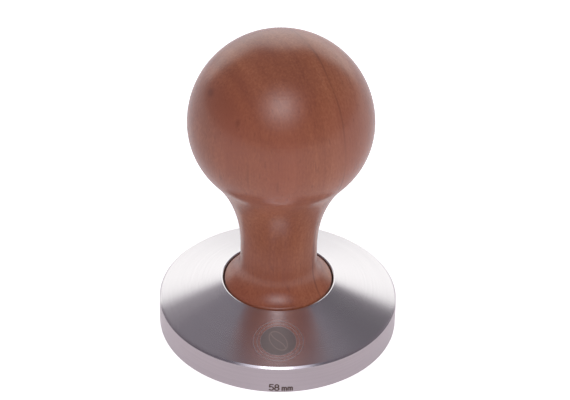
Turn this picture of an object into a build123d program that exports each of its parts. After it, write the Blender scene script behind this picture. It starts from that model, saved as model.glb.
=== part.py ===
"""Espresso tamper: a turned wooden ball handle screwed onto a 58 mm steel base.

The base is a flat-faced steel puck with a conical top and a shallow round recess.
The foot of the handle drops into that recess. A set screw, run down into the base and
locked there, is the stud. It screws into a barbed brass insert that is glued up the
middle of the handle. A rubber ring in a groove under the foot keeps the joint from
working loose and keeps water out of the end grain.

Millimetres, +Z up along the turning axis, origin at the centre of the working face.
Threads are plain cylinders at their nominal size with a small radial clearance.
"""
from build123d import *
import math
import os

# ---- steel base ----
base_radius = 29.0            # the 58 mm size that the filter basket takes
wall_height = 7.0             # straight wall, up to the rim bevel
base_height = 12.6            # working face to the lip of the recess
rim_bevel = 0.45              # 45 degree bevel between wall and cone
face_bevel = 0.2              # broken edge round the working face
lip_bevel = 0.3               # 45 degree bevel inside the lip
recess_depth = 2.5            # lip to the seat of the handle's foot
recess_corner = 0.35          # tool radius in the corner of the recess

# ---- wooden handle ----
ball_radius = 21.9            # widest part of the ball, and all of its upper half
ball_under_radius = 19.0      # tighter turn below the widest part
shoulder_angle = 40.0         # how far the outline leans out between neck and ball
neck_radius = 9.25
neck_length = 4.3             # straight part of the neck
foot_rim = 1.75               # wood left outside the groove for the rubber ring
foot_edge_height = 2.0        # straight edge of the foot, above its seat
foot_edge_round = 0.7         # rounded shoulder above the straight edge
flare_angle = 62.0            # how far the flare leans out where it meets that shoulder
foot_chamfer = 0.6            # clears the corner of the recess
foot_gap = 0.3                # radial gap between foot and recess
insert_sunk = 0.3             # flange of the insert, up inside the foot

# ---- threaded joint ----
thread_radius = 4.0           # M8
thread_pitch = 1.25
thread_clearance = 0.05       # radial, both ends of the stud
stud_in_base = 6.0            # below the seat
stud_in_handle = 14.0         # above the seat
stud_end_chamfer = 0.8
socket_across_flats = 4.0
socket_depth = 4.0
drill_point_angle = 118.0
overcut = 1.0                 # how far a cutting solid runs past the face that it opens

# ---- brass insert ----
insert_wall = 1.35            # bore to the roots of the barbs
barb_height = 0.6
barb_pitch = 2.0
barb_rise = 0.7               # steep side of a barb, towards the mouth, measured along the axis
insert_length = 16.0
flange_overhang = 1.9         # past the crests of the barbs
flange_thickness = 1.2
insert_mouth_chamfer = 0.7
drive_slot_width = 1.4
drive_slot_depth = 0.7
glue_gap = 0.05               # insert in wood, on the radius and at the inner end

# ---- rubber ring ----
ring_inner_wall = 1.5         # wood between the flange's pocket and the ring's groove
ring_width = 1.6              # squeezed section
ring_height = 1.2             # squeezed section, and the depth of its groove
ring_corner = 0.45
ring_side_gap = 0.15

# ---- sizes that follow, from the thread outwards ----
hole_radius = thread_radius + thread_clearance
insert_core_radius = hole_radius + insert_wall
insert_radius = insert_core_radius + barb_height
flange_radius = insert_radius + flange_overhang
groove_half = ring_width / 2 + ring_side_gap
ring_centre_radius = flange_radius + glue_gap + ring_inner_wall + groove_half
foot_radius = ring_centre_radius + groove_half + foot_rim
recess_radius = foot_radius + foot_gap

seat_z = base_height - recess_depth
insert_z = seat_z + insert_sunk
stud_bottom_z = seat_z - stud_in_base
stud_top_z = seat_z + stud_in_handle


def lean(angle):
    """How far an arc of unit radius moves sideways while it turns from upright by an angle."""
    return 1 - math.cos(math.radians(angle))


# The flare and the hollow under the ball take the radius that joins their neighbours.
flare_radius = (foot_radius - neck_radius) / lean(flare_angle) - foot_edge_round
hollow_radius = (ball_radius - neck_radius) / lean(shoulder_angle) - ball_under_radius


def drill_point(radius):
    """Height of the cone that a drill leaves at the end of a hole of this radius."""
    return radius / math.tan(math.radians(drill_point_angle / 2))


def turned(points):
    """Solid of revolution about Z from a closed outline of (radius, height) points."""
    outline = Polyline(*points, close=True)
    return revolve(make_face(Plane.XZ * outline), Axis.Z)


def make_base():
    """Steel puck: bevelled wall, conical top, round recess and a blind hole for the stud."""
    puck = turned([
        (0, 0),
        (base_radius - face_bevel, 0),
        (base_radius, face_bevel),
        (base_radius, wall_height),
        (base_radius - rim_bevel, wall_height + rim_bevel),
        (recess_radius + lip_bevel, base_height),
        (0, base_height),
    ])
    recess = turned([
        (0, seat_z),
        (recess_radius - recess_corner, seat_z),
        (recess_radius, seat_z + recess_corner),
        (recess_radius, base_height - lip_bevel),
        (recess_radius + lip_bevel, base_height),
        (recess_radius + lip_bevel, base_height + overcut),
        (0, base_height + overcut),
    ])
    # The stud's chamfered end bottoms on the drill point.
    hole_tip = stud_bottom_z - drill_point(thread_radius - stud_end_chamfer)
    hole = turned([
        (0, hole_tip),
        (hole_radius, hole_tip + drill_point(hole_radius)),
        (hole_radius, seat_z + overcut),
        (0, seat_z + overcut),
    ])
    return puck - recess - hole


def make_stud():
    """Stud with chamfered ends and a hexagon socket in its upper end."""
    end_radius = thread_radius - stud_end_chamfer
    bar = turned([
        (0, stud_bottom_z),
        (end_radius, stud_bottom_z),
        (thread_radius, stud_bottom_z + stud_end_chamfer),
        (thread_radius, stud_top_z - stud_end_chamfer),
        (end_radius, stud_top_z),
        (0, stud_top_z),
    ])
    hexagon = RegularPolygon(socket_across_flats / 2, 6, major_radius=False)
    socket = extrude(Pos(0, 0, stud_top_z - socket_depth) * hexagon, socket_depth + overcut)
    return bar - socket


def make_insert():
    """Flanged brass sleeve with saw-tooth barbs outside and the thread's bore inside."""
    top = insert_z + insert_length
    first = insert_z + flange_thickness
    outline = [
        (0, insert_z),
        (flange_radius, insert_z),
        (flange_radius, first),
        (insert_core_radius, first),
    ]
    barbs = int((insert_length - flange_thickness) / barb_pitch)
    for number in range(barbs):
        start = first + number * barb_pitch
        outline.append((insert_radius, start + barb_rise))
        outline.append((insert_core_radius, start + barb_pitch))
    outline += [(insert_core_radius, top), (0, top)]
    sleeve = turned(outline)
    mouth_radius = hole_radius + insert_mouth_chamfer
    bore = turned([
        (0, insert_z - overcut),
        (mouth_radius, insert_z - overcut),
        (mouth_radius, insert_z),
        (hole_radius, insert_z + insert_mouth_chamfer),
        (hole_radius, top + overcut),
        (0, top + overcut),
    ])
    slot = Pos(0, 0, insert_z) * Box(
        2 * (flange_radius + overcut), drive_slot_width, 2 * drive_slot_depth
    )
    return sleeve - bore - slot


def make_ring():
    """Rubber ring, squeezed between the groove under the foot and the seat."""
    section = RectangleRounded(ring_width, ring_height, ring_corner)
    place = Pos(ring_centre_radius, seat_z + ring_height / 2)
    return revolve(Plane.XZ * (place * section), Axis.Z)


def handle_outline():
    """Closed half outline of the handle: foot, flare, neck, hollow and ball in tangent arcs."""
    up = (0, 1)
    base_line = Line((0, seat_z), (foot_radius - foot_chamfer, seat_z))
    chamfer_line = Line(base_line @ 1, (foot_radius, seat_z + foot_chamfer))
    edge = Line(chamfer_line @ 1, (foot_radius, seat_z + foot_edge_height))
    shoulder = JernArc(edge @ 1, up, foot_edge_round, flare_angle)
    flare = JernArc(shoulder @ 1, shoulder % 1, flare_radius, -flare_angle)
    neck = Line(flare @ 1, flare @ 1 + Vector(0, neck_length))
    hollow = JernArc(neck @ 1, up, hollow_radius, -shoulder_angle)
    under = JernArc(hollow @ 1, hollow % 1, ball_under_radius, shoulder_angle)
    crown = JernArc(under @ 1, up, ball_radius, 90)
    axis_line = Line(crown @ 1, (0, seat_z))
    return [
        base_line, chamfer_line, edge, shoulder, flare,
        neck, hollow, under, crown, axis_line,
    ]


def make_handle():
    """Turned handle with the pocket for the insert and the groove for the ring."""
    blank = revolve(make_face(Plane.XZ * Curve(handle_outline())), Axis.Z)
    pocket_radius = insert_radius + glue_gap
    flange_pocket_radius = flange_radius + glue_gap
    flange_top = insert_z + flange_thickness
    pocket_top = insert_z + insert_length + glue_gap
    pocket = turned([
        (0, seat_z - overcut),
        (flange_pocket_radius, seat_z - overcut),
        (flange_pocket_radius, flange_top),
        (pocket_radius, flange_top),
        (pocket_radius, pocket_top),
        (0, pocket_top + drill_point(pocket_radius)),
    ])
    groove = turned([
        (ring_centre_radius - groove_half, seat_z - overcut),
        (ring_centre_radius + groove_half, seat_z - overcut),
        (ring_centre_radius + groove_half, seat_z + ring_height),
        (ring_centre_radius - groove_half, seat_z + ring_height),
    ])
    return blank - pocket - groove


parts = {
    "steel_base": make_base(),
    "threaded_stud": make_stud(),
    "handle_insert": make_insert(),
    "seal_ring": make_ring(),
    "wooden_handle": make_handle(),
}

os.makedirs("parts", exist_ok=True)
for name, shape in parts.items():
    export_step(shape, f"parts/{name}.step")

height = parts["wooden_handle"].bounding_box().max.Z
engaged = stud_in_handle - insert_sunk - insert_mouth_chamfer - stud_end_chamfer
print(f"overall height {height:.2f}, foot radius {foot_radius:.2f}")
print(f"flare radius {flare_radius:.2f}, hollow radius {hollow_radius:.2f}")
print(f"engaged thread {engaged:.2f}, {engaged / thread_pitch:.1f} turns")
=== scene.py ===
import bmesh
import bpy
import math
import numpy as np
from mathutils import Matrix, Vector


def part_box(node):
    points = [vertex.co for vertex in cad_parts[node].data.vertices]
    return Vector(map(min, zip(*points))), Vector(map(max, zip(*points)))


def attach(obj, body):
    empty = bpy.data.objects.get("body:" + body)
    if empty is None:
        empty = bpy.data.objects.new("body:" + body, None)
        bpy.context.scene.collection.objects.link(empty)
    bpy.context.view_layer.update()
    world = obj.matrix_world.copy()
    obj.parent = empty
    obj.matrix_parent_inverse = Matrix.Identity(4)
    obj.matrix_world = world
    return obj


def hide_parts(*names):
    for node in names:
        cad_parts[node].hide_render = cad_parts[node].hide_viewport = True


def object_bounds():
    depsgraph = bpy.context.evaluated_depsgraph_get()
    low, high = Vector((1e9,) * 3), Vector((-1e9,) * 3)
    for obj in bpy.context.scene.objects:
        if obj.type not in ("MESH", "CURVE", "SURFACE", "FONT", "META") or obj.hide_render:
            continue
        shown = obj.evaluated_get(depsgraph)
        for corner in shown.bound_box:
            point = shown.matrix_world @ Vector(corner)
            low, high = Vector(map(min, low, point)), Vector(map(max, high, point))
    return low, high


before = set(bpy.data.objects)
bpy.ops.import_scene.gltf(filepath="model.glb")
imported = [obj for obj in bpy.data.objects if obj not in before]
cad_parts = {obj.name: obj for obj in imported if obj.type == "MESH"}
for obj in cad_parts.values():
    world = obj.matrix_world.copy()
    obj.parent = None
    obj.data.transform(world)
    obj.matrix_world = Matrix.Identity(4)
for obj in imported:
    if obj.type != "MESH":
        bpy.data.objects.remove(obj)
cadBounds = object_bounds()

# Espresso tamper: looks for the turned base, the ball handle and the screw joint between them.
# Lengths in the settings are millimetres; meshes are metres.
mm = 0.001
tau = 2 * math.pi
tiny = 1e-6                     # mm, a radius below this is on the axis
merge = 1e-8                    # m, points closer than this are one
sharpAngle = 34                 # degrees between two faces, past which their edge is shaded sharp


def hexColor(text):
    # sRGB hex to linear RGBA: the usual curve, channel by channel
    channels = [int(text[i:i + 2], 16) / 255 for i in (1, 3, 5)]
    linear = [c / 12.92 if c <= 0.04045 else ((c + 0.055) / 1.055) ** 2.4 for c in channels]
    return (*linear, 1.0)


def addNode(tree, kind, settings):
    # settings, by property name or by input name or number: a value, or the node or socket that
    # feeds it; the stops of a colour ramp are (position, linear colour)
    node = tree.nodes.new("ShaderNode" + kind)
    for key, value in settings.items():
        if isinstance(value, bpy.types.Node):
            value = next(output for output in value.outputs if output.enabled)
        if isinstance(value, bpy.types.NodeSocket):
            tree.links.new(value, node.inputs[key])
        elif key == "stops":
            elements = node.color_ramp.elements
            while len(elements) < len(value):
                elements.new(0.5)
            for element, (position, color) in zip(elements, value):
                element.position = position
                element.color = color
        elif isinstance(key, str) and hasattr(node, key):
            setattr(node, key, value)
        else:
            node.inputs[key].default_value = value
    return node


def newMaterial(name):
    # a material with an empty node tree, and that tree
    material = bpy.data.materials.new(name)
    material.use_nodes = True
    material.node_tree.nodes.clear()
    return material, material.node_tree


def arcPoints(centre, radius, start, end, steps):
    # centre + radius * (cos, sin) of an angle that runs evenly from start to end
    angle = np.radians(np.linspace(start, end, steps + 1))
    return np.column_stack([centre[0] + radius * np.cos(angle), centre[1] + radius * np.sin(angle)])


def tangentOutline(start, heading, moves, linePoints=7, arcStep=1.5):
    # walks from start: ("line", length) goes straight on, ("arc", radius, turn) turns left by so many
    # degrees; each stretch is tangent to the one before, and an arc has a point every arcStep degrees
    point = np.array(start, float)
    pieces = [point[None]]
    for move in moves:
        direction = np.array([math.cos(math.radians(heading)), math.sin(math.radians(heading))])
        if move[0] == "line":
            stretch = point + direction * np.linspace(0, move[1], linePoints)[:, None]
        else:
            radius, turn = move[1:]
            side = math.copysign(1, turn)
            centre = point + side * radius * np.array([-direction[1], direction[0]])
            steps = max(6, int(abs(turn) / arcStep))
            stretch = arcPoints(centre, radius, heading - side * 90, heading - side * 90 + turn, steps)
            heading += turn
        pieces.append(stretch[1:])
        point = stretch[-1]
    return np.vstack(pieces)


def roundedOutline(corners, closed=False, steps=5, support=0.12):
    # corners: (radius, height, rounding). A rounding is the arc tangent to both sides of its corner, and
    # each straight side has one more point close to either end, so that smooth shading stays flat on it
    places = np.array([c[:2] for c in corners], float)
    count = len(corners)
    pieces = []
    for k, corner in enumerate(corners):
        ends = not closed and k in (0, count - 1)
        if ends or corner[2] == 0:
            pieces.append(places[k][None])
            continue
        before, here, after = places[k - 1], places[k], places[(k + 1) % count]
        inward = (here - before) / np.linalg.norm(here - before)
        outward = (after - here) / np.linalg.norm(after - here)
        turn = math.atan2(inward[0] * outward[1] - inward[1] * outward[0], float(inward @ outward))
        reach = corner[2] * math.tan(abs(turn) / 2)
        side = math.copysign(1, turn)
        centre = here - inward * reach + side * corner[2] * np.array([-inward[1], inward[0]])
        first = math.degrees(math.atan2(inward[1], inward[0])) - side * 90
        pieces.append(arcPoints(centre, corner[2], first, first + math.degrees(turn), steps))
    result = []
    for k, piece in enumerate(pieces):
        result.append(piece)
        if not closed and k == count - 1:
            break
        start, end = piece[-1], pieces[(k + 1) % count][0]
        length = np.linalg.norm(end - start)
        inset = (end - start) * min(support, length * 0.3) / length
        result.append(np.array([start + inset, end - inset]))
    return np.vstack(result)


def refine(outline, low, high, step):
    # adds evenly spaced points where the distance along the outline lies between low and high
    along = np.concatenate([[0], np.cumsum(np.linalg.norm(np.diff(outline, axis=0), axis=1))])
    extra = np.arange(low, high, step)
    every = np.unique(np.round(np.concatenate([along, extra]), 6))
    return np.column_stack([np.interp(every, along, outline[:, k]) for k in (0, 1)])


def alongOutline(outline, radius, height):
    # distance along the outline to its point nearest to (radius, height)
    along = np.concatenate([[0], np.cumsum(np.linalg.norm(np.diff(outline, axis=0), axis=1))])
    return along[np.argmin(np.hypot(outline[:, 0] - radius, outline[:, 1] - height))]


def turnedMesh(name, radii, heights, angles, closed=False, body=None, node=None):
    # a grid round the Z axis: point (i, j) is radius * (cos, sin) of its angle, at its height, all in mm.
    # radii and heights are one value a row or one a point, angles are one a column or one a point.
    # UV: u is the distance along the outline in mm, v is the share of a turn
    rows, cols = len(heights), angles.shape[-1]
    radii, heights = [np.broadcast_to(each if each.ndim == 2 else each[:, None], (rows, cols))
                      for each in (radii, heights)]
    points = np.stack([radii * np.cos(angles), radii * np.sin(angles), heights], -1) * mm

    index = np.arange(rows * cols).reshape(rows, cols)
    pole = radii.max(axis=1) < tiny
    index[pole] = index[pole][:, :1]
    i, j = np.meshgrid(np.arange(rows - 1 + closed), np.arange(cols), indexing="ij")
    iNext, jNext = (i + 1) % rows, (j + 1) % cols
    corners = np.stack([index[i, j], index[i, jNext], index[iNext, jNext], index[iNext, j]], -1)

    step = np.hypot(np.diff(radii[:, 0]), np.diff(heights[:, 0]))
    closing = 0.1               # from the last row of a closed outline back to the first
    u = np.concatenate([[0], np.cumsum(step), [step.sum() + closing]])
    around = np.atleast_2d(angles)[0]
    v = np.append(around, around[0] + tau) / tau
    uv = np.stack([np.stack([u[i + a], v[j + b]], -1) for a, b in ((0, 0), (0, 1), (1, 1), (1, 0))], -2)

    # quads, and triangles where a row is a pole
    faces, faceUv = [], []
    for mask, pick in ((~pole[i] & ~pole[iNext], [0, 1, 2, 3]), (pole[i] & ~pole[iNext], [0, 2, 3]),
                       (~pole[i] & pole[iNext], [0, 1, 2])):
        faces += corners[mask][:, pick].tolist()
        faceUv.append(uv[mask][:, pick].reshape(-1, 2))
    mesh = bpy.data.meshes.new(name)
    mesh.from_pydata(points.reshape(-1, 3).tolist(), [], faces)
    layer = mesh.uv_layers.new(name="turning")
    layer.data.foreach_set("uv", np.concatenate(faceUv).astype(np.float32).ravel())

    # points that a pole left over go, and so do faces that have no area
    tidy = bmesh.new()
    tidy.from_mesh(mesh)
    bmesh.ops.delete(tidy, geom=[p for p in tidy.verts if not p.link_faces], context="VERTS")
    bmesh.ops.remove_doubles(tidy, verts=tidy.verts, dist=merge)
    tidy.to_mesh(mesh)
    tidy.free()
    mesh.shade_smooth()
    mesh.set_sharp_from_angle(angle=math.radians(sharpAngle))
    piece = bpy.data.objects.new(name, mesh)
    bpy.context.scene.collection.objects.link(piece)
    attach(piece, body)
    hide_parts(node)
    print(name, len(mesh.vertices), "points", len(mesh.polygons), "faces")
    return piece


def roundTurn(columns):
    # angles spread evenly round one turn
    return np.arange(columns) * tau / columns


view = {
    "elevation": 38.294,        # degrees, seen from the origin
    "distance": 550,
    "aim": (1.278, 0, 35.33),   # point that the lens looks at
    "roll": 1.161,              # the object leans this much clockwise
    "lens": 140.3,
    "sensor": 36,
    "clipStart": 10,
}
tilt = math.radians(view["elevation"])
camera = bpy.data.objects.new("camera", bpy.data.cameras.new("camera"))
camera.location = Vector((0, -math.cos(tilt), math.sin(tilt))) * view["distance"] * mm
look = Vector(view["aim"]) * mm - camera.location
turnBack = Matrix.Rotation(math.radians(view["roll"]), 4, "Z")
aimed = look.to_track_quat("-Z", "Y").to_matrix().to_4x4()
camera.matrix_world = Matrix.Translation(camera.location) @ aimed @ turnBack
camera.data.lens = view["lens"]
camera.data.sensor_width = view["sensor"]
camera.data.clip_start = view["clipStart"] * mm
bpy.context.scene.collection.objects.link(camera)
bpy.context.scene.camera = camera
bpy.context.scene.view_settings.view_transform = "Standard"

studio = {
    "backdrop": "#ffffff",
    "backdropStrength": 1.45,
    "backdropTurn": -1.5,       # degrees to the right of straight behind the object
    "backdropHalfAngle": 47,
    "backdropSoftness": 5,
    # radiance above the backdrop, as (degrees above the horizon, colour as a share of the backdrop)
    "sky": [(29, "#ffffff"), (31.5, "#e8e6e8"), (33.5, "#b6b1b7"), (37, "#8d8891"),
            (41, "#7b7580"), (44, "#6e6873"), (48, "#6b656f"), (56, "#6e6871")],
    "skyStart": (0.62, 0.75),   # heights where the upper room takes over from the sides
    # the unlit room beside and behind the camera, lighter low down where the floor lights it
    "sides": [(0, "#8a828a"), (10, "#7a737b"), (24, "#6a636c"), (38, "#585159")],
    "seen": 1.15,               # plain white behind the object
    "floor": "#f4f3f4",
    "floorHalf": 6000,
    "floorDrop": 0.01,          # below the working face
    "floorGlow": 0.33,          # what the rest of the studio adds to the floor
    "floorSeen": 0.5,           # and what over-exposure adds to it as seen
}

# soft-edged panels of light: degrees to the right of straight behind, degrees up, half angle, softness,
# colour and strength
panels = [
    (-33.4, 40.6, 4, 3, "#918b93", 1.0),    # a pale gap at the left edge of the backdrop
    (180, 50, 21, 11, "#f3eefc", 1.15),     # the diffuser round the softbox
    (0, 33, 13, 7, "#ffffff", 1.25),        # a brighter patch of backdrop
    (38, 47, 10, 7, "#4c4750", 1.0),        # a dark corner above its right edge
]

softbox = {
    "elevation": 51,
    "distance": 1200,
    "halfAngle": 10.5,
    "radiance": 2.2,
}


def skyDirection(azimuth, elevation):
    # unit vector at these degrees right of +Y and above the horizon
    level = math.cos(math.radians(elevation))
    side = math.radians(azimuth)
    return Vector((level * math.sin(side), level * math.cos(side), math.sin(math.radians(elevation))))


def insidePatch(tree, direction, azimuth, elevation, half, soft):
    # 1 inside a round patch of sky and 0 outside it: a smooth step of the dot product of the direction
    # and the patch's middle, from the cosine of half + soft to the cosine of half - soft
    facing = addNode(tree, "VectorMath", {"operation": "DOT_PRODUCT", 0: direction,
                                          1: skyDirection(azimuth, elevation)})
    return addNode(tree, "MapRange", {
        "interpolation_type": "SMOOTHSTEP", "Value": facing,
        "From Min": math.cos(math.radians(half + soft)),
        "From Max": math.cos(math.radians(max(half - soft, 0)))})


def makeWorld():
    # white backdrop low down behind the object, dim room elsewhere, and panels laid over both; the
    # camera itself sees plain white
    world = bpy.data.worlds.new("studio")
    world.use_nodes = True
    tree = world.node_tree
    tree.nodes.clear()
    direction = addNode(tree, "TexCoord", {}).outputs["Generated"]
    parts = addNode(tree, "SeparateXYZ", {0: direction})
    sky, sides = [addNode(tree, "ValToRGB", {
        0: parts.outputs["Z"],
        "stops": [(math.sin(math.radians(lift)), hexColor(color)) for lift, color in stops]})
        for stops in (studio["sky"], studio["sides"])]
    behind = insidePatch(tree, direction, studio["backdropTurn"], 0, studio["backdropHalfAngle"],
                         studio["backdropSoftness"])
    overhead = addNode(tree, "MapRange", {
        "interpolation_type": "SMOOTHSTEP", "Value": parts.outputs["Z"],
        "From Min": studio["skyStart"][0], "From Max": studio["skyStart"][1]})
    share = addNode(tree, "Math", {"operation": "MAXIMUM", 0: behind, 1: overhead})
    room = addNode(tree, "Mix", {"data_type": "RGBA", 0: share, 6: sides, 7: sky})
    for *patch, color, strength in panels:
        inside = insidePatch(tree, direction, *patch)
        shine = [channel * strength for channel in hexColor(color)]
        room = addNode(tree, "Mix", {"data_type": "RGBA", 0: inside, 6: room, 7: shine})
    light = addNode(tree, "Background", {"Color": room, "Strength": studio["backdropStrength"]})
    plain = addNode(tree, "Background", {"Color": hexColor(studio["backdrop"]),
                                         "Strength": studio["seen"]})
    path = addNode(tree, "LightPath", {})
    both = addNode(tree, "MixShader", {0: path.outputs["Is Camera Ray"], 1: light, 2: plain})
    addNode(tree, "OutputWorld", {"Surface": both})
    bpy.context.scene.world = world


def makeSoftbox():
    # square lamp: side = 2 * distance * tan(half angle), watts = radiance * pi * side * side
    distance = softbox["distance"] * mm
    side = 2 * distance * math.tan(math.radians(softbox["halfAngle"]))
    light = bpy.data.lights.new("softbox", "AREA")
    light.shape = "SQUARE"
    light.size = side
    light.energy = softbox["radiance"] * math.pi * side * side
    lamp = bpy.data.objects.new("softbox", light)
    toLamp = skyDirection(180, softbox["elevation"])
    lamp.location = (cadBounds[0] + cadBounds[1]) / 2 + toLamp * distance
    lamp.rotation_euler = toLamp.to_track_quat("Z", "Y").to_euler()
    lamp.visible_camera = False
    bpy.context.scene.collection.objects.link(lamp)


def makeFloor():
    # one wide white square, at the height of the working face; over-exposed as seen
    half = studio["floorHalf"] * mm
    z = cadBounds[0].z - studio["floorDrop"] * mm
    corners = [(-half, -half, z), (half, -half, z), (half, half, z), (-half, half, z)]
    mesh = bpy.data.meshes.new("floor")
    mesh.from_pydata(corners, [], [(0, 1, 2, 3)])
    floor = bpy.data.objects.new("floor", mesh)
    bpy.context.scene.collection.objects.link(floor)
    material, tree = newMaterial("floor_white_paper")
    diffuse = addNode(tree, "BsdfDiffuse", {"Color": hexColor(studio["floor"])})
    path = addNode(tree, "LightPath", {})
    extra = addNode(tree, "Math", {"operation": "MULTIPLY_ADD", 0: path.outputs["Is Camera Ray"],
                                   1: studio["floorSeen"], 2: studio["floorGlow"]})
    glow = addNode(tree, "Emission", {"Color": hexColor(studio["backdrop"]), "Strength": extra})
    both = addNode(tree, "AddShader", {0: diffuse, 1: glow})
    addNode(tree, "OutputMaterial", {"Surface": both})
    mesh.materials.append(material)


makeWorld()
makeSoftbox()
makeFloor()
print("studio ready")

base = {
    "columns": 240,
    "rimBevel": 0.45,
    "wallHeight": 7.0,
    "faceBevel": 0.2,
    "lipBevel": 0.3,
    "recessRadius": 13.4,
    "seat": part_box("wooden_handle")[0].z / mm,
    "recessCorner": 0.35,
    "holeRadius": 4.05,
    "holeBottom": 4.61,
    "holeTip": 2.18,
    "edge": 0.06,               # rounding that a file leaves on a sharp edge
    "lipEdge": 0.33,            # the lip is rubbed round, so it catches a bright line
}

sizeMark = {
    "place": (1.05, 1.55),      # centre, along the wall and up it
    "height": 1.75,
    "width": 3.1,               # in heights
    "lead": 0.02,               # blank before the first figure, in heights
    "stroke": 0.35,
    "blur": 0.05,
    "step": 0.075,              # mesh spacing under the mark
    "margin": 0.4,              # width of the finer mesh round the mark
    "skin": 0.02,               # depth of the wall that takes the mark
}


def strokeDistance(x, y, strokes):
    # shortest distance from each point to a set of straight strokes and arcs
    best = np.full(x.shape, np.inf)
    for kind, *values in strokes:
        if kind == "line":
            (ax, ay), (bx, by) = values
            t = ((x - ax) * (bx - ax) + (y - ay) * (by - ay)) / ((bx - ax) ** 2 + (by - ay) ** 2)
            t = np.clip(t, 0, 1)
            distance = np.hypot(x - ax - t * (bx - ax), y - ay - t * (by - ay))
        else:
            (cx, cy), radius, start, end = values
            angle = np.mod(np.degrees(np.arctan2(y - cy, x - cx)) - start, 360)
            onArc = np.abs(np.hypot(x - cx, y - cy) - radius)
            tips = [(cx + radius * math.cos(math.radians(a)), cy + radius * math.sin(math.radians(a)))
                    for a in (start, end)]
            offArc = np.minimum(*[np.hypot(x - px, y - py) for px, py in tips])
            distance = np.where(angle <= end - start, onArc, offArc)
        best = np.minimum(best, distance)
    return best


def sizeMarkStrokes():
    # plain single-line figures "58" and two small m, on a line one unit high
    strokes = [
        ("line", (0.08, 1.0), (0.5, 1.0)),
        ("line", (0.08, 1.0), (0.05, 0.58)),
        ("arc", (0.26, 0.32), 0.3, -140, 130),
        ("arc", (1.02, 0.755), 0.235, 0, 360),
        ("arc", (1.02, 0.265), 0.275, 0, 360),
    ]
    half, spring = 0.14, 0.38   # of an arch of the m: half its width, and the height where it springs
    for left in (1.75, 2.55):
        strokes.append(("line", (left, 0), (left, spring + half)))
        for k in (1, 3):
            middle = left + k * half
            strokes.append(("arc", (middle, spring), half, 0, 180))
            strokes.append(("line", (middle + half, 0), (middle + half, spring)))
    return strokes


def makeBase():
    # outline turned about Z: flat face, broken edge, wall, rim bevel, cone, rounded lip, recess with a
    # small corner radius, and the drilled hole for the stud
    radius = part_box("steel_base")[1].x / mm
    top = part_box("steel_base")[1].z / mm
    edge = base["edge"]
    lip = base["recessRadius"] + base["lipBevel"]
    corners = [
        (0, 0, 0),
        (radius - base["faceBevel"], 0, edge),
        (radius, base["faceBevel"], edge),
        (radius, base["wallHeight"], edge),
        (radius - base["rimBevel"], base["wallHeight"] + base["rimBevel"], edge),
        (lip, top, base["lipEdge"]),
        (base["recessRadius"], top - base["lipBevel"], base["lipEdge"]),
        (base["recessRadius"], base["seat"] + base["recessCorner"], edge),
        (base["recessRadius"] - base["recessCorner"], base["seat"], edge),
        (base["holeRadius"], base["seat"], edge),
        (base["holeRadius"], base["holeBottom"], edge),
        (0, base["holeTip"], 0),
    ]
    outline = roundedOutline(corners)

    # closer rows and columns under the size mark
    markX, markZ = sizeMark["place"]
    unit = sizeMark["height"]
    halfWidth = sizeMark["width"] * unit / 2 + sizeMark["margin"]
    halfHeight = unit / 2 + sizeMark["margin"]
    wallStart = alongOutline(outline, radius, base["faceBevel"] + edge)
    outline = refine(outline, wallStart + markZ - halfHeight - base["faceBevel"],
                     wallStart + markZ + halfHeight - base["faceBevel"], sizeMark["step"])
    front = -math.pi / 2 + markX / radius
    spread = halfWidth / radius
    fine = np.arange(front - spread, front + spread, sizeMark["step"] / radius)
    coarse = roundTurn(base["columns"]) - math.pi
    coarse = coarse[np.abs(coarse - front) > spread]
    angles = np.sort(np.concatenate([coarse, fine]))
    piece = turnedMesh("tamper_base", outline[:, 0], outline[:, 1], angles,
                       body="base", node="steel_base")

    # the mark is 1 on its strokes and 0 off them, by distance from the strokes on the unrolled wall
    mesh = piece.data
    place = np.empty(len(mesh.vertices) * 3, np.float32)
    mesh.vertices.foreach_get("co", place)
    x, y, z = place.reshape(-1, 3).T / mm
    across = (np.arctan2(y, x) + math.pi / 2) * radius - markX
    glyphX = across / unit + sizeMark["width"] / 2 - sizeMark["lead"]
    glyphY = (z - markZ) / unit + 0.5
    distance = strokeDistance(glyphX, glyphY, sizeMarkStrokes()) * unit
    mask = np.clip((sizeMark["stroke"] / 2 - distance) / sizeMark["blur"] + 0.5, 0, 1)
    mask[np.hypot(x, y) < radius - sizeMark["skin"]] = 0
    attribute = mesh.attributes.new("sizeMark", "FLOAT", "POINT")
    attribute.data.foreach_set("value", mask.astype(np.float32))
    return piece


tamperBase = makeBase()

emblem = {
    "place": (0.3, -21.7),      # x and y, seen from above
    "half": (6.0, 5.3),
    "disc": 0.71,               # shares of the half size
    "innerRing": (0.83, 0.85),
    "outerRing": (0.975, 1.0),
    "soft": 0.012,
    "beanHalf": (1.9, 3.0),
    "beanTurn": 38,
    "beanRim": (0.86, 0.97),
    "beanSoft": 0.03,
    "creaseWave": (0.2, 2.7),   # how far the crease swings, and how often
    "creaseHalf": 0.065,
}

steel = {
    "color": "#d4d1d2",
    "lineDark": "#cfcccd",
    "wallShadeTint": (0.90, 0.83, 0.85),     # painted shade: the wall, left as turned, is darkened and tinted to stand in for the shadowed floor that it reflects
    "roughness": 0.23,
    "wallRoughness": 0.29,
    "anisotropic": 0.9,
    "lineSpacing": 0.45,        # mm between visible turning lines; the real feed is near 0.1
    # laser marks: colour, and how much of it covers the steel
    "disc": ("#695d55", 0.8),
    "rings": ("#a3978e", 0.3),
    "bean": ("#a3978e", 0.7),
    "figures": ("#5d4b43", 1.0),
    "markRoughness": 0.3,       # added where the laser has been
    "markMetal": -0.6,          # and the shine that its oxide takes away
}


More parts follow.
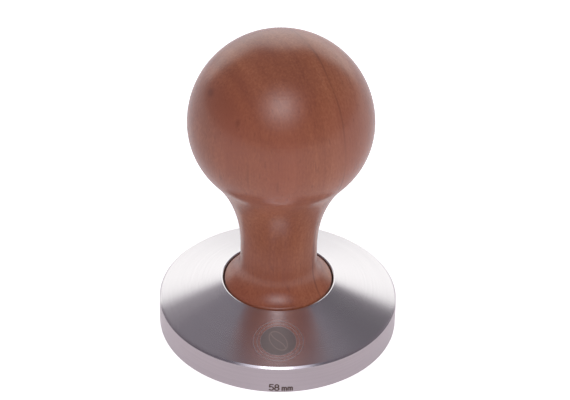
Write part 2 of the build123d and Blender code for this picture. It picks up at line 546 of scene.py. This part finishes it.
def ovalReach(tree, place, turn, half):
    # distance from the middle of an oval seen from above, 1 on its edge; also its own x and y
    coord = addNode(tree, "TexCoord", {})
    oval = addNode(tree, "Mapping", {
        "vector_type": "TEXTURE", "Vector": coord.outputs["Object"],
        "Location": (place[0] * mm, place[1] * mm, 0), "Rotation": (0, 0, math.radians(turn)),
        "Scale": (half[0] * mm, half[1] * mm, 1e6)})
    reach = addNode(tree, "VectorMath", {"operation": "LENGTH", 0: oval})
    own = addNode(tree, "SeparateXYZ", {0: oval})
    return reach, own.outputs["X"], own.outputs["Y"]


def band(tree, value, start, end, soft):
    # 1 between start and end and 0 outside, with soft edges: a rising ramp times a falling one. Distances
    # are never negative, so a start of -1 leaves only the end
    rise = addNode(tree, "MapRange", {"Value": value, "From Min": start - soft, "From Max": start + soft})
    fall = addNode(tree, "MapRange", {"Value": value, "From Min": end + soft, "From Max": end - soft})
    return addNode(tree, "Math", {"operation": "MULTIPLY", 0: rise, 1: fall})


def emblemMasks(tree, onCone):
    # laser mark on the cone, flat ovals seen from above, as three masks: the disc, two rings, and a bean
    # with a rim and a crease, where |across + swing * sin(often * along)| is small
    soft, beanSoft = emblem["soft"], emblem["beanSoft"]
    reach, _, _ = ovalReach(tree, emblem["place"], 0, emblem["half"])
    disc = band(tree, reach, -1, emblem["disc"], soft)
    beanReach, across, along = ovalReach(tree, emblem["place"], emblem["beanTurn"], emblem["beanHalf"])
    swing, often = emblem["creaseWave"]
    angle = addNode(tree, "Math", {"operation": "MULTIPLY", 0: along, 1: often})
    wave = addNode(tree, "Math", {"operation": "SINE", 0: angle})
    bent = addNode(tree, "Math", {"operation": "MULTIPLY_ADD", 0: wave, 1: swing, 2: across})
    offset = addNode(tree, "Math", {"operation": "ABSOLUTE", 0: bent})
    crease = addNode(tree, "Math", {"operation": "MULTIPLY",
                                    0: band(tree, offset, -1, emblem["creaseHalf"], beanSoft),
                                    1: band(tree, beanReach, -1, emblem["beanRim"][0], beanSoft)})
    bean = addNode(tree, "Math", {"operation": "MAXIMUM", 0: crease,
                                  1: band(tree, beanReach, *emblem["beanRim"], beanSoft)})
    rings = addNode(tree, "Math", {"operation": "MAXIMUM",
                                   0: band(tree, reach, *emblem["innerRing"], soft),
                                   1: band(tree, reach, *emblem["outerRing"], soft)})
    return [addNode(tree, "Math", {"operation": "MULTIPLY", 0: mask, 1: onCone})
            for mask in (disc, rings, bean)]


def steelMaterial():
    # Stainless steel, fine turned: reflections stay sharp along the turning lines and smear
    # across them, so the studio shows as wedges that meet at the axis.
    material, tree = newMaterial("stainless_steel_turned")
    uv = addNode(tree, "UVMap", {"uv_map": "turning"})
    # turning lines, which change twice a turn
    stretch = addNode(tree, "Mapping", {"Vector": uv, "Scale": (1 / steel["lineSpacing"], 2.0, 1.0)})
    lines = addNode(tree, "TexNoise", {"noise_dimensions": "2D", "Vector": stretch, "Scale": 1.0,
                                       "Detail": 2.0, "Roughness": 0.6})
    tone = addNode(tree, "ValToRGB", {0: lines, "stops": [(0.3, hexColor(steel["lineDark"])),
                                                          (0.7, hexColor(steel["color"]))]})

    coord = addNode(tree, "TexCoord", {})
    position = addNode(tree, "SeparateXYZ", {0: coord.outputs["Object"]})
    onCone = addNode(tree, "Math", {"operation": "GREATER_THAN", 0: position.outputs["Z"],
                                    1: base["wallHeight"] * mm})
    # painted shade: the wall's colour is darkened and tinted to stand in for the shadowed floor that it
    # reflects
    wall = addNode(tree, "VectorMath", {"operation": "MULTIPLY", 0: tone, 1: steel["wallShadeTint"]})
    color = addNode(tree, "Mix", {"data_type": "RGBA", 0: onCone, 6: wall, 7: tone})
    polish = addNode(tree, "MapRange", {"Value": onCone, "To Min": steel["wallRoughness"],
                                        "To Max": steel["roughness"]})

    disc, rings, bean = emblemMasks(tree, onCone)
    figures = addNode(tree, "Attribute", {"attribute_name": "sizeMark"}).outputs["Fac"]
    marked = figures
    for mask, name in ((disc, "disc"), (rings, "rings"), (bean, "bean"), (figures, "figures")):
        ink, cover = steel[name]
        amount = addNode(tree, "Math", {"operation": "MULTIPLY", 0: mask, 1: cover})
        color = addNode(tree, "Mix", {"data_type": "RGBA", 0: amount, 6: color, 7: hexColor(ink)})
        marked = addNode(tree, "Math", {"operation": "MAXIMUM", 0: marked, 1: amount})
    rough = addNode(tree, "Math", {"operation": "MULTIPLY_ADD", 0: marked,
                                   1: steel["markRoughness"], 2: polish})
    metal = addNode(tree, "Math", {"operation": "MULTIPLY_ADD", 0: marked, 1: steel["markMetal"], 2: 1.0})
    bump = addNode(tree, "Bump", {"Strength": 0.02, "Distance": 0.01 * mm, "Height": lines})
    tangent = addNode(tree, "Tangent", {"direction_type": "UV_MAP", "uv_map": "turning"})
    shader = addNode(tree, "BsdfPrincipled", {
        "Base Color": color, "Roughness": rough, "Metallic": metal, "Anisotropic": steel["anisotropic"],
        "Normal": bump, "Tangent": tangent})
    addNode(tree, "OutputMaterial", {"Surface": shader})
    return material


tamperBase.data.materials.append(steelMaterial())
print("base ready")

handle = {
    "columns": 256,
    "ballUnder": 19.0,          # radius of the turn below the widest part of the ball
    "shoulder": 40.0,           # degrees that the outline leans out between neck and ball
    "neckRadius": 9.25,
    "neckLength": 4.3,
    "footRadius": 13.1,
    "footEdge": 2.0,            # height of the foot's straight edge
    "footRound": 0.7,
    "flareAngle": 62.0,         # degrees that the flare leans out above that edge
    "footChamfer": 0.6,
    "pocketRadius": 6.05,
    "pocketTop": 26.45,
    "pocketTip": 30.085,
    "flangePocketRadius": 7.95,
    "flangeTop": 11.6,
    "grooveRadius": 10.4,
    "grooveHalf": 0.95,
    "grooveDepth": 1.2,
    "edge": 0.12,               # sanded off every sharp edge of the foot
}


def makeHandle():
    # outline turned about Z: pocket for the insert, groove for the ring and foot, rounded a little at
    # each corner, then the shoulder, flare, neck, hollow and ball as tangent arcs
    low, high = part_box("wooden_handle")
    seat, ball = low.z / mm, high.x / mm
    foot = handle["footRadius"]
    edge = handle["edge"]
    groove, half = handle["grooveRadius"], handle["grooveHalf"]
    inside = roundedOutline([
        (0, handle["pocketTip"], 0),
        (handle["pocketRadius"], handle["pocketTop"], edge),
        (handle["pocketRadius"], handle["flangeTop"], edge),
        (handle["flangePocketRadius"], handle["flangeTop"], edge),
        (handle["flangePocketRadius"], seat, edge),
        (groove - half, seat, edge),
        (groove - half, seat + handle["grooveDepth"], edge),
        (groove + half, seat + handle["grooveDepth"], edge),
        (groove + half, seat, edge),
        (foot - handle["footChamfer"], seat, edge),
        (foot, seat + handle["footChamfer"], edge),
        (foot, seat + handle["footChamfer"] + 2 * edge, 0),
    ])
    # each arc's radius joins its neighbours: sideways run = radius * (1 - cos turn)
    lean = 1 - math.cos(math.radians(handle["flareAngle"]))
    shoulder = 1 - math.cos(math.radians(handle["shoulder"]))
    flare = (foot - handle["neckRadius"]) / lean - handle["footRound"]
    hollow = (ball - handle["neckRadius"]) / shoulder - handle["ballUnder"]
    outside = tangentOutline(inside[-1], 90, [
        ("line", seat + handle["footEdge"] - inside[-1][1]),
        ("arc", handle["footRound"], handle["flareAngle"]),
        ("arc", flare, -handle["flareAngle"]),
        ("line", handle["neckLength"]),
        ("arc", hollow, -handle["shoulder"]),
        ("arc", handle["ballUnder"], handle["shoulder"]),
        ("arc", ball, 90),
    ])
    outside[-1, 0] = 0
    outline = np.vstack([inside, outside[1:]])
    return turnedMesh("ball_handle", outline[:, 0], outline[:, 1], roundTurn(handle["columns"]),
                      body="handle", node="wooden_handle")


ballHandle = makeHandle()

wood = {
    "across": 28.9,             # degrees from X to the way across the growth rings
    "lineAt": 5.1,              # mm from the axis to the one dark year line, that way
    "lineHalf": 0.42,
    "dark": "#97573d",
    "mid": "#aa6646",
    "light": "#ba7552",
    "red": "#a65e46",
    "line": "#6b3a2c",
    "roughness": 0.5,
    "lacquerRoughness": 0.25,
    "lacquerIor": 1.55,
    "haze": 0.14,               # wax film, which glows at grazing light
    "hazeRoughness": 0.4,
    # widths of what varies, in mm across the rings, along them and along the grain. Real pores and fibres
    # are near 0.05 mm wide, too fine to show, so they are drawn some ten times as coarse
    "bandWidths": (4, 30, 110),
    "grainWidths": (0.5, 0.8, 14),
    "speckleWidths": (0.45, 0.45, 1.0),
    "poreWidths": (0.45, 0.9, 3.2),
    "redWidths": (16, 22, 35),
    "lineBendWidths": (9, 14, 40),
    "lineFadeWidths": (7, 12, 20),
    # what each adds to the tone, and the tones of the dark, mid and light wood
    "bandWeight": 0.75,
    "grainWeight": 0.3,
    "speckleWeight": 0.45,
    "sideTone": (-0.12, 0.08),  # from the heart side to the bark side
    "sideReach": (-16, 12),
    "tones": (0.54, 0.75, 0.95),
    "poreStart": (0.66, 0.74),
    "poreStrength": 0.25,
    "poreDepth": 0.8,
    "redStart": (0.42, 0.68),
    "redStrength": 0.6,
    "lineBend": 1.6,
    "lineFade": (0.32, 0.6),
    "lineStrength": (0.15, 0.5),
    "sandingWidth": 0.5,        # mm between the rings that the sandpaper leaves; real ones are finer
}

# small dark marks in the wood: place, half sizes and strength
flecks = [
    ((-16.1, -7.8, 70.2), (1.6, 1.6, 1.1), 0.45),
    ((-9.7, -16.7, 67.8), (0.7, 0.7, 1.6), 0.35),
    ((-13.5, -16.5, 52.9), (0.5, 0.5, 5.0), 0.35),
    ((-7.3, -20.6, 55.5), (0.4, 0.5, 5.5), 0.30),
    ((-0.5, -21.5, 53.7), (0.4, 0.5, 3.6), 0.30),
]


def woodMaterial():
    # Steamed pear, turned, fine sanded and lacquered: even red brown with one thin dark year line,
    # hair-fine grain along the handle, short dark pores, and a film with wide soft lights.
    material, tree = newMaterial("pear_wood_turned_lacquered")
    coord = addNode(tree, "TexCoord", {}).outputs["Object"]
    turned = addNode(tree, "Mapping", {"vector_type": "TEXTURE", "Vector": coord,
                                       "Rotation": (0, 0, math.radians(wood["across"]))})

    def figure(name, detail, shift=0):
        # soft noise as wide as the setting called name says, shifted so that no two figures match
        widths = wood[name + "Widths"]
        place = addNode(tree, "Mapping", {"Vector": turned, "Location": (shift, shift, shift),
                                          "Scale": [1 / (width * mm) for width in widths]})
        return addNode(tree, "TexNoise", {"Vector": place, "Scale": 1.0, "Detail": detail})

    # tone = broad bands + fine grain + speckle + a slow rise from the heart side to the bark side
    own = addNode(tree, "SeparateXYZ", {0: turned})
    low, high = wood["sideReach"]
    tone = addNode(tree, "MapRange", {"Value": own.outputs["X"], "From Min": low * mm,
                                      "From Max": high * mm, "To Min": wood["sideTone"][0],
                                      "To Max": wood["sideTone"][1]})
    for name, detail, shift in (("band", 3.0, 0), ("grain", 2.0, 3.1), ("speckle", 2.0, 5.3)):
        tone = addNode(tree, "Math", {"operation": "MULTIPLY_ADD", 0: figure(name, detail, shift),
                                      1: wood[name + "Weight"], 2: tone})
    color = addNode(tree, "ValToRGB", {0: tone, "stops": [
        (stop, hexColor(wood[name])) for stop, name in zip(wood["tones"], ("dark", "mid", "light"))]})
    low, high = wood["redStart"]
    redness = addNode(tree, "MapRange", {"Value": figure("red", 1.0, 7.3), "From Min": low,
                                         "From Max": high, "To Max": wood["redStrength"]})
    color = addNode(tree, "Mix", {"data_type": "RGBA", 0: redness, 6: color, 7: hexColor(wood["red"])})

    # year line: the distance across the rings, bent a little, comes close to the line's own. The bend is
    # about half its full swing on the whole, which the line's place takes up
    bend = addNode(tree, "Math", {"operation": "MULTIPLY_ADD", 0: figure("lineBend", 1.0, 2.1),
                                  1: wood["lineBend"] * mm, 2: own.outputs["X"]})
    middle = wood["lineAt"] + wood["lineBend"] / 2
    away = addNode(tree, "Math", {"operation": "SUBTRACT", 0: bend, 1: middle * mm})
    offset = addNode(tree, "Math", {"operation": "ABSOLUTE", 0: away})
    near = addNode(tree, "MapRange", {"interpolation_type": "SMOOTHSTEP", "Value": offset,
                                      "From Min": wood["lineHalf"] * mm, "From Max": 0.0})
    low, high = wood["lineFade"]
    faint, strong = wood["lineStrength"]
    fade = addNode(tree, "MapRange", {"Value": figure("lineFade", 1.0, 11.9), "From Min": low,
                                      "From Max": high, "To Min": faint, "To Max": strong})
    line = addNode(tree, "Math", {"operation": "MULTIPLY", 0: near, 1: fade})
    # pores: the highest crests of a fine noise drawn out along the grain
    low, high = wood["poreStart"]
    pores = addNode(tree, "MapRange", {"Value": figure("pore", 1.0, 4.7), "From Min": low,
                                       "From Max": high, "To Max": wood["poreStrength"]})
    dark = addNode(tree, "Math", {"operation": "MAXIMUM", 0: line, 1: pores})
    for place, half, strength in flecks:
        # a fleck is an oval, solid near its middle and gone a little past its half sizes
        oval = addNode(tree, "Mapping", {"vector_type": "TEXTURE", "Vector": coord,
                                         "Location": [v * mm for v in place],
                                         "Scale": [v * mm for v in half]})
        reach = addNode(tree, "VectorMath", {"operation": "LENGTH", 0: oval})
        fleck = addNode(tree, "MapRange", {"interpolation_type": "SMOOTHSTEP", "Value": reach,
                                           "From Min": 1.3, "From Max": 0.2, "To Max": strength})
        dark = addNode(tree, "Math", {"operation": "MAXIMUM", 0: dark, 1: fleck})
    color = addNode(tree, "Mix", {"data_type": "RGBA", 0: dark, 6: color, 7: hexColor(wood["line"])})

    # relief: pores and fine rings that the sandpaper leaves round the handle
    uv = addNode(tree, "UVMap", {"uv_map": "turning"})
    stretch = addNode(tree, "Mapping", {"Vector": uv, "Scale": (1 / wood["sandingWidth"], 6.0, 1.0)})
    sanding = addNode(tree, "TexNoise", {"noise_dimensions": "2D", "Vector": stretch, "Scale": 1.0,
                                         "Detail": 2.0})
    height = addNode(tree, "Math", {"operation": "MULTIPLY_ADD", 0: pores, 1: -wood["poreDepth"],
                                    2: sanding})
    bump = addNode(tree, "Bump", {"Strength": 0.3, "Distance": 0.04 * mm, "Height": height})
    # the lacquer alone shines; the wood under it gives no light of its own back
    shader = addNode(tree, "BsdfPrincipled", {
        "Base Color": color, "Roughness": wood["roughness"], "Specular IOR Level": 0.0,
        "Coat Weight": 1.0, "Coat Roughness": wood["lacquerRoughness"], "Coat IOR": wood["lacquerIor"],
        "Normal": bump, "Coat Normal": bump, "Sheen Weight": wood["haze"],
        "Sheen Roughness": wood["hazeRoughness"]})
    addNode(tree, "OutputMaterial", {"Surface": shader})
    return material


ballHandle.data.materials.append(woodMaterial())
print("handle ready")

thread = {
    "radius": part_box("threaded_stud")[1].x / mm,
    "pitch": 1.25,
    "depth": 0.767,             # 0.613 of the pitch
    "columns": 96,
    "rows": 24,                 # for each turn
    "play": 0.12,               # radial, between the stud's thread and the insert's
}
threadStep = thread["pitch"] / thread["rows"]   # along the axis, from one row to the next


def threadRadius(heights, angles):
    # right-hand 60 degree thread: d is the distance along the axis to the nearest crest line, and the
    # surface lies (d - pitch / 16) * tan 60 below the crest, no less than 0 and no more than the depth
    turns = heights / thread["pitch"] - angles / tau
    d = np.abs(turns - np.floor(turns) - 0.5) * thread["pitch"]
    fall = (d - thread["pitch"] / 16) * math.tan(math.radians(60))
    return thread["radius"] - np.clip(fall, 0, thread["depth"])


stud = {
    "endChamfer": 0.8,
    "socketFlats": 4.0,
    "socketDepth": 4.0,
    "socketTip": 0.9,           # cone that the drill leaves under the hexagon
    "socketChamfer": 0.25,
}


def makeStud():
    # threaded shaft, then the rows of a hexagon socket down its middle; a row is one value of height
    low, high = [corner.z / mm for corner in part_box("threaded_stud")]
    angles = roundTurn(thread["columns"])
    shaft = np.append(np.arange(low, high, threadStep), high)[:, None]
    # the thread, cut back to a 45 degree cone at both ends
    cone = thread["radius"] - stud["endChamfer"] + np.minimum(shaft - low, high - shaft)
    shaftRadii = np.minimum(threadRadius(shaft, angles), cone)
    # hexagon: half the width across flats over the cosine of the angle from the nearest flat's middle
    fromFlat = np.mod(angles + tau / 12, tau / 6) - tau / 12
    hexagon = stud["socketFlats"] / 2 / np.cos(fromFlat)
    chamfer = stud["socketChamfer"]
    floor = high - stud["socketDepth"]
    socket = [
        (hexagon + chamfer, high),
        (hexagon, high - chamfer),
        (hexagon, floor + chamfer),
        (hexagon, floor),
        (hexagon * 0, floor - stud["socketTip"]),
    ]
    radii = np.vstack([angles * 0, shaftRadii, *[row[0] for row in socket]])
    heights = np.concatenate([[low], shaft[:, 0], [row[1] for row in socket]])
    return turnedMesh("joint_stud", radii, heights, angles,
                      body="base", node="threaded_stud")


insert = {
    "core": 5.4,                # roots of the barbs
    "barb": 0.6,
    "barbPitch": 2.0,
    "barbRise": 0.7,
    "flangeThickness": 1.2,
    "mouthRadius": 4.75,        # 45 degree countersink at the mouth of the thread
    "slotWidth": 1.4,
    "slotDepth": 0.7,
    "slotSpread": 0.12,         # share of the turn's parameter, in radians, that half a slot takes
    "wallShare": 0.001,         # of that, from a slot's wall to the columns on either side of it
    "edge": 0.1,
}


def makeInsert():
    # closed outline turned about Z: flange, saw-tooth barbs, and back down the threaded bore; where a
    # drive slot runs, the height is no less than the slot's floor
    low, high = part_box("handle_insert")
    bottom, top, flange = low.z / mm, high.z / mm, high.x / mm
    core, edge = insert["core"], insert["edge"]
    first = bottom + insert["flangeThickness"]
    corners = [(insert["mouthRadius"], bottom, 0), (flange, bottom, edge),
               (flange, first, edge), (core, first, edge)]
    for start in np.arange(first, top - insert["barbPitch"], insert["barbPitch"]):
        corners += [(core + insert["barb"], start + insert["barbRise"], edge / 2),
                    (core, start + insert["barbPitch"], edge / 2)]
    corners += [(core, top, edge), (thread["radius"] + edge, top, 0)]
    outside = roundedOutline(corners, support=edge / 2)
    bore = np.arange(top, bottom + edge / 2, -threadStep)
    heights = np.concatenate([outside[:, 1], bore])[:, None]
    outsideRadii = np.concatenate([outside[:, 0], bore * 0 + insert["mouthRadius"]])[:, None]

    # two drive slots lie along X. A column at t follows the slot's wall at every radius if t is slotEdge
    # from the middle of the slot: there the angle is asin(half width / radius)
    slotEdge, share = insert["slotSpread"], insert["wallShare"]
    t = roundTurn(thread["columns"]) - math.pi / 2
    walls = [centre + side * slotEdge * near for centre in (0, math.pi) for side in (-1, 1)
             for near in (1 - share, 1 + share)]
    t = np.sort(np.append(t, walls))
    middle = np.round(t / math.pi) * math.pi
    away = np.abs(t - middle)
    inSlot = away < slotEdge
    wall = np.arcsin(insert["slotWidth"] / 2 / outsideRadii)
    quarter = math.pi / 2
    turn = np.where(inSlot, away / slotEdge * wall,
                    wall + (away - slotEdge) / (quarter - slotEdge) * (quarter - wall))
    angles = middle + np.sign(t - middle) * turn

    # bore: the stud's thread plus the play, opened by the countersink
    countersink = insert["mouthRadius"] + bottom - heights
    threaded = np.maximum(threadRadius(heights, angles) + thread["play"], countersink)
    isBore = np.arange(len(heights))[:, None] >= len(outside)
    radii = np.where(isBore, threaded, outsideRadii)
    heights = np.where(inSlot, np.maximum(heights, bottom + insert["slotDepth"]), heights)
    return turnedMesh("insert_sleeve", radii, heights, angles, closed=True,
                      body="handle", node="handle_insert")


ring = {
    "width": 1.6,
    "corner": 0.45,
    "columns": 160,
}


def makeRing():
    # closed rectangle with round corners, turned about Z
    low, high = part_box("seal_ring")
    bottom, top, outer, corner = low.z / mm, high.z / mm, high.x / mm, ring["corner"]
    inner = outer - ring["width"]
    outline = roundedOutline([(inner, bottom, corner), (outer, bottom, corner),
                              (outer, top, corner), (inner, top, corner)], closed=True, steps=6)
    return turnedMesh("sealing_ring", outline[:, 0], outline[:, 1], roundTurn(ring["columns"]),
                      closed=True, body="ring", node="seal_ring")


# widths in mm. The real lines and grain are near 0.03 mm, too fine to show, so they are drawn coarser
screwSteel = {
    "dull": "#9c9b9a",
    "bright": "#b9b8b6",
    "lineWidth": 0.12,
    "patchWidth": 2.5,
    "roughness": (0.24, 0.42),
}

brass = {
    "bright": "#d9b56a",
    "dull": "#b48d4c",
    "lineWidth": 0.15,
    "patchWidth": 1.8,
    "spotStart": (0.5, 0.7),
    "roughness": (0.2, 0.4),
    "anisotropic": 0.6,
}

rubber = {
    "dark": "#1c1c1d",
    "bloom": "#333335",
    "grainWidth": 0.12,
    "bloomWidth": 3.0,
    "roughness": (0.55, 0.75),
}


def turnedDetail(tree, lineWidth, patchWidth):
    # two noises: lines round the piece, lineWidth mm apart and changing four times a turn, and patches
    # patchWidth mm wide
    uv = addNode(tree, "UVMap", {"uv_map": "turning"})
    stretch = addNode(tree, "Mapping", {"Vector": uv, "Scale": (1 / lineWidth, 4.0, 1.0)})
    lines = addNode(tree, "TexNoise", {"noise_dimensions": "2D", "Vector": stretch, "Scale": 1.0,
                                       "Detail": 2.0})
    coord = addNode(tree, "TexCoord", {})
    patches = addNode(tree, "TexNoise", {"Vector": coord.outputs["Object"],
                                         "Scale": 1 / (patchWidth * mm), "Detail": 2.0})
    return lines, patches


def screwSteelMaterial():
    # Screw steel, thread rolled and left bright under a thin film of oil: grey, with lines that
    # follow the thread and a few duller patches.
    material, tree = newMaterial("screw_steel_rolled_bright")
    lines, film = turnedDetail(tree, screwSteel["lineWidth"], screwSteel["patchWidth"])
    color = addNode(tree, "Mix", {"data_type": "RGBA", 0: film, 6: hexColor(screwSteel["dull"]),
                                  7: hexColor(screwSteel["bright"])})
    smooth, coarse = screwSteel["roughness"]
    rough = addNode(tree, "MapRange", {"Value": lines, "To Min": smooth, "To Max": coarse})
    bump = addNode(tree, "Bump", {"Strength": 0.1, "Distance": 0.02 * mm, "Height": lines})
    shader = addNode(tree, "BsdfPrincipled", {"Base Color": color, "Metallic": 1.0, "Roughness": rough,
                                              "Normal": bump})
    addNode(tree, "OutputMaterial", {"Surface": shader})
    return material


def brassMaterial():
    # Free-cutting brass, turned and left bare: warm yellow, with fine rings from the tool and
    # browner spots where it has begun to dull.
    material, tree = newMaterial("brass_turned_bare")
    lines, spots = turnedDetail(tree, brass["lineWidth"], brass["patchWidth"])
    low, high = brass["spotStart"]
    dull = addNode(tree, "MapRange", {"Value": spots, "From Min": low, "From Max": high})
    color = addNode(tree, "Mix", {"data_type": "RGBA", 0: dull, 6: hexColor(brass["bright"]),
                                  7: hexColor(brass["dull"])})
    smooth, coarse = brass["roughness"]
    rough = addNode(tree, "MapRange", {"Value": lines, "To Min": smooth, "To Max": coarse})
    bump = addNode(tree, "Bump", {"Strength": 0.15, "Distance": 0.02 * mm, "Height": lines})
    tangent = addNode(tree, "Tangent", {"direction_type": "UV_MAP", "uv_map": "turning"})
    shader = addNode(tree, "BsdfPrincipled", {"Base Color": color, "Metallic": 1.0, "Roughness": rough,
                                              "Anisotropic": brass["anisotropic"],
                                              "Normal": bump, "Tangent": tangent})
    addNode(tree, "OutputMaterial", {"Surface": shader})
    return material


def rubberMaterial():
    # Nitrile rubber, moulded: matt near-black with a fine grain and a faint grey bloom.
    material, tree = newMaterial("nitrile_rubber_moulded")
    coord = addNode(tree, "TexCoord", {}).outputs["Object"]
    grain, bloom = [addNode(tree, "TexNoise", {"Vector": coord, "Scale": 1 / (width * mm), "Detail": 2.0})
                    for width in (rubber["grainWidth"], rubber["bloomWidth"])]
    color = addNode(tree, "Mix", {"data_type": "RGBA", 0: bloom, 6: hexColor(rubber["dark"]),
                                  7: hexColor(rubber["bloom"])})
    smooth, coarse = rubber["roughness"]
    rough = addNode(tree, "MapRange", {"Value": bloom, "To Min": smooth, "To Max": coarse})
    bump = addNode(tree, "Bump", {"Strength": 0.3, "Distance": 0.03 * mm, "Height": grain})
    shader = addNode(tree, "BsdfPrincipled", {"Base Color": color, "Roughness": rough, "Normal": bump})
    addNode(tree, "OutputMaterial", {"Surface": shader})
    return material


makeStud().data.materials.append(screwSteelMaterial())
makeInsert().data.materials.append(brassMaterial())
makeRing().data.materials.append(rubberMaterial())
print("joint ready")
